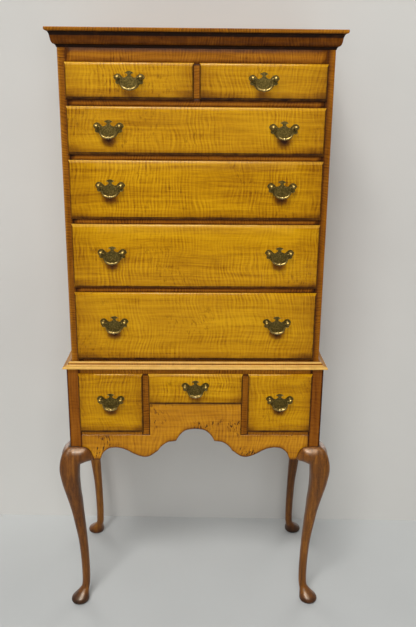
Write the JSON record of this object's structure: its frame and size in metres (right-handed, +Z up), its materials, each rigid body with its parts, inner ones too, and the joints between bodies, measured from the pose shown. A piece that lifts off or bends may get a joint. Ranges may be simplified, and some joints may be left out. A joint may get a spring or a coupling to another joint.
{
  "type": "highboy chest of drawers",
  "caption": "Tall chest of drawers on a lower case with cabriole legs and a scalloped apron. Its lipped drawers slide out and its brass bail pulls swing.",
  "frame": {"origin": "on the floor, under the centre of the lower case", "axes": "+Z up, +X to the right of someone facing the drawers, -Y towards that person"},
  "size_m": [0.8628, 0.4998, 1.824],
  "materials": {
    "drawer_maple": "polished golden curly maple",
    "case_maple": "polished dark amber maple",
    "inner_wood": "bare pale pine",
    "brass": "aged dark brass"
  },
  "bodies": {
    "case": {"upper_side_left": "case_maple", "upper_side_right": "case_maple", "upper_back": "inner_wood", "upper_top_board": "case_maple", "cornice_moulding": "case_maple", "upper_frame": "case_maple", "waist_moulding": "case_maple", "lower_frame": "case_maple", "apron": "drawer_maple", "lower_side_left": "case_maple", "lower_side_right": "case_maple", "lower_back": "inner_wood", "leg_front_left": "case_maple", "leg_front_right": "case_maple", "leg_rear_left": "case_maple", "leg_rear_right": "case_maple"},
    "drawer_fifth": {"drawer_front_fifth": "drawer_maple", "drawer_box_fifth": "inner_wood", "pull_plate_fifth_left": "brass", "pull_plate_fifth_right": "brass"},
    "bail_fifth_left": {"pull_bail_fifth_left": "brass"},
    "bail_fifth_right": {"pull_bail_fifth_right": "brass"},
    "drawer_fourth": {"drawer_front_fourth": "drawer_maple", "drawer_box_fourth": "inner_wood", "pull_plate_fourth_left": "brass", "pull_plate_fourth_right": "brass"},
    "bail_fourth_left": {"pull_bail_fourth_left": "brass"},
    "bail_fourth_right": {"pull_bail_fourth_right": "brass"},
    "drawer_third": {"drawer_front_third": "drawer_maple", "drawer_box_third": "inner_wood", "pull_plate_third_left": "brass", "pull_plate_third_right": "brass"},
    "bail_third_left": {"pull_bail_third_left": "brass"},
    "bail_third_right": {"pull_bail_third_right": "brass"},
    "drawer_second": {"drawer_front_second": "drawer_maple", "drawer_box_second": "inner_wood", "pull_plate_second_left": "brass", "pull_plate_second_right": "brass"},
    "bail_second_left": {"pull_bail_second_left": "brass"},
    "bail_second_right": {"pull_bail_second_right": "brass"},
    "drawer_top_left": {"drawer_front_top_left": "drawer_maple", "drawer_box_top_left": "inner_wood", "pull_plate_top_left": "brass"},
    "bail_top_left": {"pull_bail_top_left": "brass"},
    "drawer_top_right": {"drawer_front_top_right": "drawer_maple", "drawer_box_top_right": "inner_wood", "pull_plate_top_right": "brass"},
    "bail_top_right": {"pull_bail_top_right": "brass"},
    "drawer_lower_left": {"drawer_front_lower_left": "drawer_maple", "drawer_box_lower_left": "inner_wood", "pull_plate_lower_left": "brass"},
    "bail_lower_left": {"pull_bail_lower_left": "brass"},
    "drawer_lower_centre": {"drawer_front_lower_centre": "drawer_maple", "drawer_box_lower_centre": "inner_wood", "pull_plate_lower_centre": "brass"},
    "bail_lower_centre": {"pull_bail_lower_centre": "brass"},
    "drawer_lower_right": {"drawer_front_lower_right": "drawer_maple", "drawer_box_lower_right": "inner_wood", "pull_plate_lower_right": "brass"},
    "bail_lower_right": {"pull_bail_lower_right": "brass"}
  },
  "joints": [
    {"name": "drawer_fifth_slide", "type": "slide", "parent": "case", "child": "drawer_fifth", "axis": [0, -1, 0], "range_m": [0, 0.3]},
    {"name": "drawer_fourth_slide", "type": "slide", "parent": "case", "child": "drawer_fourth", "axis": [0, -1, 0], "range_m": [0, 0.3]},
    {"name": "drawer_third_slide", "type": "slide", "parent": "case", "child": "drawer_third", "axis": [0, -1, 0], "range_m": [0, 0.3]},
    {"name": "drawer_second_slide", "type": "slide", "parent": "case", "child": "drawer_second", "axis": [0, -1, 0], "range_m": [0, 0.3]},
    {"name": "drawer_top_left_slide", "type": "slide", "parent": "case", "child": "drawer_top_left", "axis": [0, -1, 0], "range_m": [0, 0.3]},
    {"name": "drawer_top_right_slide", "type": "slide", "parent": "case", "child": "drawer_top_right", "axis": [0, -1, 0], "range_m": [0, 0.3]},
    {"name": "drawer_lower_left_slide", "type": "slide", "parent": "case", "child": "drawer_lower_left", "axis": [0, -1, 0], "range_m": [0, 0.3]},
    {"name": "drawer_lower_centre_slide", "type": "slide", "parent": "case", "child": "drawer_lower_centre", "axis": [0, -1, 0], "range_m": [0, 0.3]},
    {"name": "drawer_lower_right_slide", "type": "slide", "parent": "case", "child": "drawer_lower_right", "axis": [0, -1, 0], "range_m": [0, 0.3]},
    {"name": "bail_fifth_left_swing", "type": "hinge", "parent": "drawer_fifth", "child": "bail_fifth_left", "pos_m": [-0.246, -0.2248, 0.99575], "axis": [-1, 0, 0], "range_deg": [-15, 150]},
    {"name": "bail_fifth_right_swing", "type": "hinge", "parent": "drawer_fifth", "child": "bail_fifth_right", "pos_m": [0.246, -0.2248, 0.99575], "axis": [-1, 0, 0], "range_deg": [-15, 150]},
    {"name": "bail_fourth_left_swing", "type": "hinge", "parent": "drawer_fourth", "child": "bail_fourth_left", "pos_m": [-0.246, -0.2248, 1.20875], "axis": [-1, 0, 0], "range_deg": [-15, 150]},
    {"name": "bail_fourth_right_swing", "type": "hinge", "parent": "drawer_fourth", "child": "bail_fourth_right", "pos_m": [0.246, -0.2248, 1.20875], "axis": [-1, 0, 0], "range_deg": [-15, 150]},
    {"name": "bail_third_left_swing", "type": "hinge", "parent": "drawer_third", "child": "bail_third_left", "pos_m": [-0.246, -0.2248, 1.403], "axis": [-1, 0, 0], "range_deg": [-15, 150]},
    {"name": "bail_third_right_swing", "type": "hinge", "parent": "drawer_third", "child": "bail_third_right", "pos_m": [0.246, -0.2248, 1.403], "axis": [-1, 0, 0], "range_deg": [-15, 150]},
    {"name": "bail_second_left_swing", "type": "hinge", "parent": "drawer_second", "child": "bail_second_left", "pos_m": [-0.246, -0.2248, 1.56675], "axis": [-1, 0, 0], "range_deg": [-15, 150]},
    {"name": "bail_second_right_swing", "type": "hinge", "parent": "drawer_second", "child": "bail_second_right", "pos_m": [0.246, -0.2248, 1.56675], "axis": [-1, 0, 0], "range_deg": [-15, 150]},
    {"name": "bail_top_left_swing", "type": "hinge", "parent": "drawer_top_left", "child": "bail_top_left", "pos_m": [-0.18525, -0.2248, 1.6965], "axis": [-1, 0, 0], "range_deg": [-15, 150]},
    {"name": "bail_top_right_swing", "type": "hinge", "parent": "drawer_top_right", "child": "bail_top_right", "pos_m": [0.18525, -0.2248, 1.6965], "axis": [-1, 0, 0], "range_deg": [-15, 150]},
    {"name": "bail_lower_left_swing", "type": "hinge", "parent": "drawer_lower_left", "child": "bail_lower_left", "pos_m": [-0.26225, -0.2398, 0.75], "axis": [-1, 0, 0], "range_deg": [-15, 150]},
    {"name": "bail_lower_centre_swing", "type": "hinge", "parent": "drawer_lower_centre", "child": "bail_lower_centre", "pos_m": [0, -0.2398, 0.79375], "axis": [-1, 0, 0], "range_deg": [-15, 150]},
    {"name": "bail_lower_right_swing", "type": "hinge", "parent": "drawer_lower_right", "child": "bail_lower_right", "pos_m": [0.26225, -0.2398, 0.75], "axis": [-1, 0, 0], "range_deg": [-15, 150]}
  ]
}
